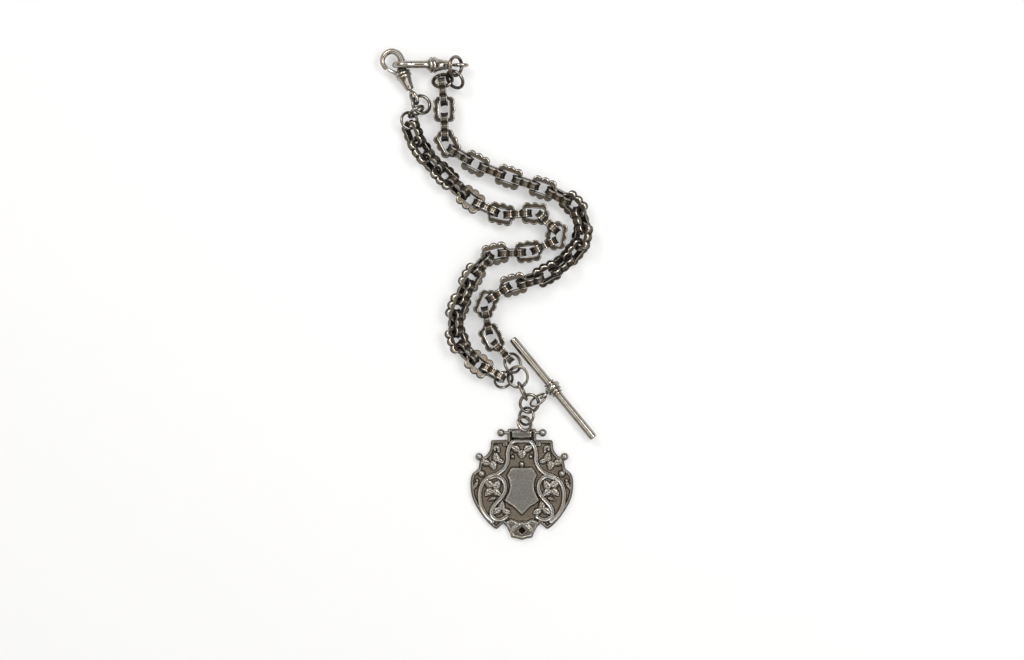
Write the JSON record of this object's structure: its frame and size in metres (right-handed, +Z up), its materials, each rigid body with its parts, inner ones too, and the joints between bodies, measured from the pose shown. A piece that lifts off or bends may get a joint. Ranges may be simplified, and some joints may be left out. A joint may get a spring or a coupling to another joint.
{
  "type": "watch chain",
  "caption": "Double watch chain of scalloped links with two clipped dog-clip swivels, a T-bar and an engraved shield fob, laid flat.",
  "frame": {"origin": "on the surface it lies on, under the middle of its outline", "axes": "+Z up from the surface, +Y from the fob towards the swivels, +X to the right seen from above"},
  "size_m": [0.069, 0.1574, 0.0089],
  "materials": {
    "fob": "tarnished engraved silver",
    "link_left_01": "worn silver, dark in the recesses",
    "link_left_04": "worn silver, dark in the recesses",
    "link_left_07": "worn silver, dark in the recesses",
    "link_left_10": "worn silver, dark in the recesses",
    "link_left_13": "worn silver, dark in the recesses",
    "link_left_16": "worn silver, dark in the recesses",
    "link_left_19": "worn silver, dark in the recesses",
    "link_left_22": "worn silver, dark in the recesses",
    "link_left_25": "worn silver, dark in the recesses",
    "link_right_01": "worn silver, dark in the recesses",
    "link_right_02": "worn silver, dark in the recesses",
    "link_right_05": "worn silver, dark in the recesses",
    "link_right_08": "worn silver, dark in the recesses",
    "link_right_11": "worn silver, dark in the recesses",
    "link_right_14": "worn silver, dark in the recesses",
    "link_right_17": "worn silver, dark in the recesses",
    "link_right_20": "worn silver, dark in the recesses",
    "link_right_23": "worn silver, dark in the recesses",
    "link_right_24": "worn silver, dark in the recesses",
    "links_left_02_03": "worn silver, dark in the recesses",
    "links_left_05_06": "worn silver, dark in the recesses",
    "links_left_08_09": "worn silver, dark in the recesses",
    "links_left_11_12": "worn silver, dark in the recesses",
    "links_left_14_15": "worn silver, dark in the recesses",
    "links_left_17_18": "worn silver, dark in the recesses",
    "links_left_20_21": "worn silver, dark in the recesses",
    "links_left_23_24": "worn silver, dark in the recesses",
    "links_right_03_04": "worn silver, dark in the recesses",
    "links_right_06_07": "worn silver, dark in the recesses",
    "links_right_09_10": "worn silver, dark in the recesses",
    "links_right_12_13": "worn silver, dark in the recesses",
    "links_right_15_16": "worn silver, dark in the recesses",
    "links_right_18_19": "worn silver, dark in the recesses",
    "links_right_21_22": "worn silver, dark in the recesses",
    "ring_drop_lower": "worn bright silver",
    "ring_drop_middle": "worn bright silver",
    "ring_drop_upper": "worn bright silver",
    "ring_joining": "worn bright silver",
    "ring_left_lower": "worn bright silver",
    "ring_left_middle": "worn bright silver",
    "ring_left_strand": "worn bright silver",
    "ring_left_upper": "worn bright silver",
    "ring_right_lower": "worn bright silver",
    "ring_right_middle": "worn bright silver",
    "ring_right_strand": "worn bright silver",
    "ring_right_upper": "worn bright silver",
    "swivel_left_eye": "worn bright silver",
    "swivel_left_gate": "worn bright silver",
    "swivel_left_hook": "worn bright silver",
    "swivel_left_pin": "plain steel",
    "swivel_left_spring": "plain steel",
    "swivel_right_eye": "worn bright silver",
    "swivel_right_gate": "worn bright silver",
    "swivel_right_hook": "worn bright silver",
    "swivel_right_pin": "plain steel",
    "swivel_right_spring": "plain steel",
    "tbar": "polished silver",
    "tbar_collar": "polished silver",
    "tbar_link": "polished silver"
  },
  "bodies": {
    "fob": {"fob": "fob"},
    "link_left_01": {"link_left_01": "link_left_01"},
    "link_left_04": {"link_left_04": "link_left_04"},
    "link_left_07": {"link_left_07": "link_left_07"},
    "link_left_10": {"link_left_10": "link_left_10"},
    "link_left_13": {"link_left_13": "link_left_13"},
    "link_left_16": {"link_left_16": "link_left_16"},
    "link_left_19": {"link_left_19": "link_left_19"},
    "link_left_22": {"link_left_22": "link_left_22"},
    "link_left_25": {"link_left_25": "link_left_25"},
    "link_right_01": {"link_right_01": "link_right_01"},
    "link_right_02": {"link_right_02": "link_right_02"},
    "link_right_05": {"link_right_05": "link_right_05"},
    "link_right_08": {"link_right_08": "link_right_08"},
    "link_right_11": {"link_right_11": "link_right_11"},
    "link_right_14": {"link_right_14": "link_right_14"},
    "link_right_17": {"link_right_17": "link_right_17"},
    "link_right_20": {"link_right_20": "link_right_20"},
    "link_right_23": {"link_right_23": "link_right_23"},
    "link_right_24": {"link_right_24": "link_right_24"},
    "links_left_02_03": {"links_left_02_03": "links_left_02_03"},
    "links_left_05_06": {"links_left_05_06": "links_left_05_06"},
    "links_left_08_09": {"links_left_08_09": "links_left_08_09"},
    "links_left_11_12": {"links_left_11_12": "links_left_11_12"},
    "links_left_14_15": {"links_left_14_15": "links_left_14_15"},
    "links_left_17_18": {"links_left_17_18": "links_left_17_18"},
    "links_left_20_21": {"links_left_20_21": "links_left_20_21"},
    "links_left_23_24": {"links_left_23_24": "links_left_23_24"},
    "links_right_03_04": {"links_right_03_04": "links_right_03_04"},
    "links_right_06_07": {"links_right_06_07": "links_right_06_07"},
    "links_right_09_10": {"links_right_09_10": "links_right_09_10"},
    "links_right_12_13": {"links_right_12_13": "links_right_12_13"},
    "links_right_15_16": {"links_right_15_16": "links_right_15_16"},
    "links_right_18_19": {"links_right_18_19": "links_right_18_19"},
    "links_right_21_22": {"links_right_21_22": "links_right_21_22"},
    "ring_drop_lower": {"ring_drop_lower": "ring_drop_lower"},
    "ring_drop_middle": {"ring_drop_middle": "ring_drop_middle"},
    "ring_drop_upper": {"ring_drop_upper": "ring_drop_upper"},
    "ring_joining": {"ring_joining": "ring_joining"},
    "ring_left_lower": {"ring_left_lower": "ring_left_lower"},
    "ring_left_middle": {"ring_left_middle": "ring_left_middle"},
    "ring_left_strand": {"ring_left_strand": "ring_left_strand"},
    "ring_left_upper": {"ring_left_upper": "ring_left_upper"},
    "ring_right_lower": {"ring_right_lower": "ring_right_lower"},
    "ring_right_middle": {"ring_right_middle": "ring_right_middle"},
    "ring_right_strand": {"ring_right_strand": "ring_right_strand"},
    "ring_right_upper": {"ring_right_upper": "ring_right_upper"},
    "swivel_left_eye": {"swivel_left_eye": "swivel_left_eye"},
    "swivel_left_gate": {"swivel_left_gate": "swivel_left_gate"},
    "swivel_left_body": {"swivel_left_hook": "swivel_left_hook", "swivel_left_pin": "swivel_left_pin", "swivel_left_spring": "swivel_left_spring"},
    "swivel_right_eye": {"swivel_right_eye": "swivel_right_eye"},
    "swivel_right_gate": {"swivel_right_gate": "swivel_right_gate"},
    "swivel_right_body": {"swivel_right_hook": "swivel_right_hook", "swivel_right_pin": "swivel_right_pin", "swivel_right_spring": "swivel_right_spring"},
    "tbar": {"tbar": "tbar"},
    "tbar_collar": {"tbar_collar": "tbar_collar"},
    "tbar_link": {"tbar_link": "tbar_link"}
  },
  "joints": [
    {"name": "ring_left_strand_swing", "type": "hinge", "parent": "ring_joining", "child": "ring_left_strand", "pos_m": [0.00735, -0.02824, 0.00167], "axis": [-0.3319, 0.9431, 0.022], "range_deg": [-3, 3]},
    {"name": "link_left_25_swing", "type": "hinge", "parent": "ring_left_strand", "child": "link_left_25", "pos_m": [0.00475, -0.02598, 0.00451], "axis": [0.3167, -0.9485, 0.0044], "range_deg": [-8, 8]},
    {"name": "links_left_23_24_swing", "type": "hinge", "parent": "link_left_25", "child": "links_left_23_24", "pos_m": [-0.00082, -0.02397, 0.00409], "axis": [-0.2729, 0.962, -0.0005], "range_deg": [-8, 8]},
    {"name": "link_left_22_swing", "type": "hinge", "parent": "links_left_23_24", "child": "link_left_22", "pos_m": [-0.00866, -0.01687, 0.00433], "axis": [0.2142, -0.9768, 0.003], "range_deg": [-8, 8]},
    {"name": "links_left_20_21_swing", "type": "hinge", "parent": "link_left_22", "child": "links_left_20_21", "pos_m": [-0.01063, -0.01198, 0.00383], "axis": [-0.2044, 0.9789, 0.0024], "range_deg": [-8, 8]},
    {"name": "link_left_19_swing", "type": "hinge", "parent": "links_left_20_21", "child": "link_left_19", "pos_m": [-0.00859, -0.00168, 0.00408], "axis": [0.2557, -0.9668, 0.0005], "range_deg": [-8, 8]},
    {"name": "links_left_17_18_swing", "type": "hinge", "parent": "link_left_19", "child": "links_left_17_18", "pos_m": [-0.00634, 0.00316, 0.00423], "axis": [-0.3, 0.9539, -0.0026], "range_deg": [-8, 8]},
    {"name": "link_left_16_swing", "type": "hinge", "parent": "links_left_17_18", "child": "link_left_16", "pos_m": [-0.00024, 0.01234, 0.00398], "axis": [0.4188, -0.9081, -0.001], "range_deg": [-8, 8]},
    {"name": "links_left_14_15_swing", "type": "hinge", "parent": "link_left_16", "child": "links_left_14_15", "pos_m": [0.00501, 0.01356, 0.00403], "axis": [-0.4872, 0.8733, 0.0002], "range_deg": [-8, 8]},
    {"name": "link_left_13_swing", "type": "hinge", "parent": "links_left_14_15", "child": "link_left_13", "pos_m": [0.0157, 0.01406, 0.00401], "axis": [0.5959, -0.8031, -0.0004], "range_deg": [-8, 8]},
    {"name": "links_left_11_12_swing", "type": "hinge", "parent": "link_left_13", "child": "links_left_11_12", "pos_m": [0.02143, 0.0161, 0.00397], "axis": [-0.6554, 0.7552, 0.001], "range_deg": [-8, 8]},
    {"name": "link_left_10_swing", "type": "hinge", "parent": "links_left_11_12", "child": "link_left_10", "pos_m": [0.01767, 0.02572, 0.00399], "axis": [0.694, -0.72, -0.0008], "range_deg": [-8, 8]},
    {"name": "links_left_08_09_swing", "type": "hinge", "parent": "link_left_10", "child": "links_left_08_09", "pos_m": [0.01226, 0.02609, 0.00401], "axis": [-0.6509, 0.7592, 0.0005], "range_deg": [-8, 8]},
    {"name": "link_left_07_swing", "type": "hinge", "parent": "links_left_08_09", "child": "link_left_07", "pos_m": [0.00172, 0.02633, 0.00388], "axis": [0.5384, -0.8427, -0.0029], "range_deg": [-8, 8]},
    {"name": "links_left_05_06_swing", "type": "hinge", "parent": "link_left_07", "child": "links_left_05_06", "pos_m": [-0.00325, 0.02872, 0.00399], "axis": [-0.4901, 0.8716, 0.001], "range_deg": [-8, 8]},
    {"name": "link_left_04_swing", "type": "hinge", "parent": "links_left_05_06", "child": "link_left_04", "pos_m": [-0.01172, 0.03602, 0.00401], "axis": [0.4075, -0.9132, -0.0008], "range_deg": [-8, 8]},
    {"name": "links_left_02_03_swing", "type": "hinge", "parent": "link_left_04", "child": "links_left_02_03", "pos_m": [-0.01572, 0.03994, 0.00377], "axis": [-0.3547, 0.935, 0.0075], "range_deg": [-8, 8]},
    {"name": "link_left_01_swing", "type": "hinge", "parent": "links_left_02_03", "child": "link_left_01", "pos_m": [-0.02285, 0.04854, 0.00411], "axis": [0.2201, -0.9755, 0.0025], "range_deg": [-8, 8]},
    {"name": "ring_left_lower_swing", "type": "hinge", "parent": "link_left_01", "child": "ring_left_lower", "pos_m": [-0.02497, 0.054, 0.00427], "axis": [-0.1771, 0.9841, -0.0115], "range_deg": [-8, 8]},
    {"name": "ring_left_middle_swing", "type": "hinge", "parent": "ring_left_lower", "child": "ring_left_middle", "pos_m": [-0.02381, 0.05727, 0.0027], "axis": [0.275, -0.9582, -0.0789], "range_deg": [-8, 8]},
    {"name": "ring_left_upper_swing", "type": "hinge", "parent": "ring_left_middle", "child": "ring_left_upper", "pos_m": [-0.0232, 0.05925, 0.00563], "axis": [-0.3445, 0.9331, -0.1031], "range_deg": [-8, 8]},
    {"name": "swivel_left_eye_swing", "type": "hinge", "parent": "ring_left_upper", "child": "swivel_left_eye", "pos_m": [-0.0234, 0.0612, 0.00412], "axis": [0.38, -0.925, 0.0055], "range_deg": [-8, 8]},
    {"name": "swivel_left_turn", "type": "hinge", "parent": "swivel_left_eye", "child": "swivel_left_body", "pos_m": [-0.02707, 0.07039, 0.00399], "axis": [-0.4259, 0.9048, 0], "range_deg": [-10, 10]},
    {"name": "swivel_left_gate_open", "type": "hinge", "parent": "swivel_left_body", "child": "swivel_left_gate", "pos_m": [-0.02868, 0.07029, 0.00399], "axis": [0, 0, -1], "range_deg": [0, 12]},
    {"name": "ring_right_strand_swing", "type": "hinge", "parent": "ring_joining", "child": "ring_right_strand", "pos_m": [0.00984, -0.02359, 0.00256], "axis": [0.3668, -0.9302, -0.0142], "range_deg": [-3, 3]},
    {"name": "link_right_24_swing", "type": "hinge", "parent": "ring_right_strand", "child": "link_right_24", "pos_m": [0.0065, -0.02096, 0.0047], "axis": [-0.347, 0.9378, -0.0065], "range_deg": [-6, 8]},
    {"name": "link_right_23_swing", "type": "hinge", "parent": "link_right_24", "child": "link_right_23", "pos_m": [0.00256, -0.01634, 0.00396], "axis": [0.3263, -0.9453, -0.0008], "range_deg": [-8, 8]},
    {"name": "links_right_21_22_swing", "type": "hinge", "parent": "link_right_23", "child": "links_right_21_22", "pos_m": [0.00003, -0.01124, 0.00405], "axis": [-0.3187, 0.9479, -0.0001], "range_deg": [-8, 8]},
    {"name": "link_right_20_swing", "type": "hinge", "parent": "links_right_21_22", "child": "link_right_20", "pos_m": [0.00067, -0.00051, 0.00379], "axis": [0.3662, -0.9305, -0.0032], "range_deg": [-8, 8]},
    {"name": "links_right_18_19_swing", "type": "hinge", "parent": "link_right_20", "child": "links_right_18_19", "pos_m": [0.00568, 0.00236, 0.00387], "axis": [-0.4325, 0.9016, 0.0022], "range_deg": [-8, 8]},
    {"name": "link_right_17_swing", "type": "hinge", "parent": "links_right_18_19", "child": "link_right_17", "pos_m": [0.01645, 0.0052, 0.00394], "axis": [0.549, -0.8358, -0.0013], "range_deg": [-8, 8]},
    {"name": "links_right_15_16_swing", "type": "hinge", "parent": "link_right_17", "child": "links_right_15_16", "pos_m": [0.02148, 0.0079, 0.00405], "axis": [-0.6053, 0.796, -0.0001], "range_deg": [-8, 8]},
    {"name": "link_right_14_swing", "type": "hinge", "parent": "links_right_15_16", "child": "link_right_14", "pos_m": [0.02979, 0.01569, 0.00443], "axis": [0.7092, -0.705, 0.0046], "range_deg": [-8, 8]},
    {"name": "links_right_12_13_swing", "type": "hinge", "parent": "link_right_14", "child": "links_right_12_13", "pos_m": [0.03091, 0.02119, 0.00392], "axis": [-0.7497, 0.6618, 0.0016], "range_deg": [-8, 8]},
    {"name": "link_right_11_swing", "type": "hinge", "parent": "links_right_12_13", "child": "link_right_11", "pos_m": [0.02553, 0.03064, 0.0041], "axis": [0.7825, -0.6226, 0.0009], "range_deg": [-8, 8]},
    {"name": "links_right_09_10_swing", "type": "hinge", "parent": "link_right_11", "child": "links_right_09_10", "pos_m": [0.02036, 0.03305, 0.00397], "axis": [-0.7693, 0.6389, 0.0011], "range_deg": [-8, 8]},
    {"name": "link_right_08_swing", "type": "hinge", "parent": "links_right_09_10", "child": "link_right_08", "pos_m": [0.00947, 0.03667, 0.00398], "axis": [0.7166, -0.6975, -0.0013], "range_deg": [-8, 8]},
    {"name": "links_right_06_07_swing", "type": "hinge", "parent": "link_right_08", "child": "links_right_06_07", "pos_m": [0.00405, 0.03858, 0.004], "axis": [-0.6806, 0.7327, 0.001], "range_deg": [-8, 8]},
    {"name": "link_right_05_swing", "type": "hinge", "parent": "links_right_06_07", "child": "link_right_05", "pos_m": [-0.00643, 0.04322, 0.00405], "axis": [0.5873, -0.8094, 0.0003], "range_deg": [-8, 8]},
    {"name": "links_right_03_04_swing", "type": "hinge", "parent": "link_right_05", "child": "links_right_03_04", "pos_m": [-0.01161, 0.04583, 0.00393], "axis": [-0.5193, 0.8546, 0.0036], "range_deg": [-8, 8]},
    {"name": "link_right_02_swing", "type": "hinge", "parent": "links_right_03_04", "child": "link_right_02", "pos_m": [-0.01389, 0.05641, 0.00399], "axis": [0.647, -0.7625, -0.0024], "range_deg": [-8, 8]},
    {"name": "link_right_01_swing", "type": "hinge", "parent": "link_right_02", "child": "link_right_01", "pos_m": [-0.01395, 0.06211, 0.00399], "axis": [-0.7839, 0.6209, 0.0029], "range_deg": [-8, 8]},
    {"name": "ring_right_lower_swing", "type": "hinge", "parent": "link_right_01", "child": "ring_right_lower", "pos_m": [-0.01506, 0.06964, 0.00188], "axis": [0.9473, -0.2816, -0.1525], "range_deg": [-8, 8]},
    {"name": "ring_right_middle_swing", "type": "hinge", "parent": "ring_right_lower", "child": "ring_right_middle", "pos_m": [-0.01245, 0.06965, 0.00273], "axis": [-0.9674, 0.2403, 0.0793], "range_deg": [-8, 8]},
    {"name": "ring_right_upper_swing", "type": "hinge", "parent": "ring_right_middle", "child": "ring_right_upper", "pos_m": [-0.01069, 0.07059, 0.00655], "axis": [0.9763, -0.167, 0.1374], "range_deg": [-8, 8]},
    {"name": "swivel_right_eye_swing", "type": "hinge", "parent": "ring_right_upper", "child": "swivel_right_eye", "pos_m": [-0.00826, 0.07328, 0.00312], "axis": [-0.9988, 0.0175, 0.0454], "range_deg": [-8, 8]},
    {"name": "swivel_right_turn", "type": "hinge", "parent": "swivel_right_eye", "child": "swivel_right_body", "pos_m": [-0.01767, 0.07343, 0.00459], "axis": [-0.997, 0, 0.0768], "range_deg": [-10, 10]},
    {"name": "swivel_right_gate_open", "type": "hinge", "parent": "swivel_right_body", "child": "swivel_right_gate", "pos_m": [-0.01838, 0.07343, 0.00314], "axis": [0, 1, 0], "range_deg": [0, 12]},
    {"name": "ring_drop_upper_swing", "type": "hinge", "parent": "ring_joining", "child": "ring_drop_upper", "pos_m": [0.01054, -0.02939, 0.00283], "axis": [0, 0, 1], "range_deg": [-15, 6]},
    {"name": "ring_drop_middle_swing", "type": "hinge", "parent": "ring_drop_upper", "child": "ring_drop_middle", "pos_m": [0.01178, -0.03279, 0.00416], "axis": [1, 0, 0], "range_deg": [-15, 15]},
    {"name": "ring_drop_lower_swing", "type": "hinge", "parent": "ring_drop_middle", "child": "ring_drop_lower", "pos_m": [0.01415, -0.03719, 0.00247], "axis": [-1, 0, 0], "range_deg": [-15, 15]},
    {"name": "fob_swing", "type": "hinge", "parent": "ring_drop_lower", "child": "fob", "pos_m": [0.0116, -0.04115, 0.00135], "axis": [1, 0, 0], "range_deg": [-15, 15]},
    {"name": "tbar_link_swing", "type": "hinge", "parent": "ring_drop_middle", "child": "tbar_link", "pos_m": [0.01637, -0.03494, 0.00308], "axis": [0, 0, 1], "range_deg": [-15, 4]},
    {"name": "tbar_collar_swing", "type": "hinge", "parent": "tbar_link", "child": "tbar_collar", "pos_m": [0.01768, -0.03334, 0.00347], "axis": [0.6342, -0.7732, 0], "range_deg": [-15, 15]},
    {"name": "tbar_spin", "type": "hinge", "parent": "tbar_collar", "child": "tbar", "pos_m": [0.02093, -0.03003, 0.00284], "axis": [0.6342, -0.7732, 0], "continuous": true}
  ]
}
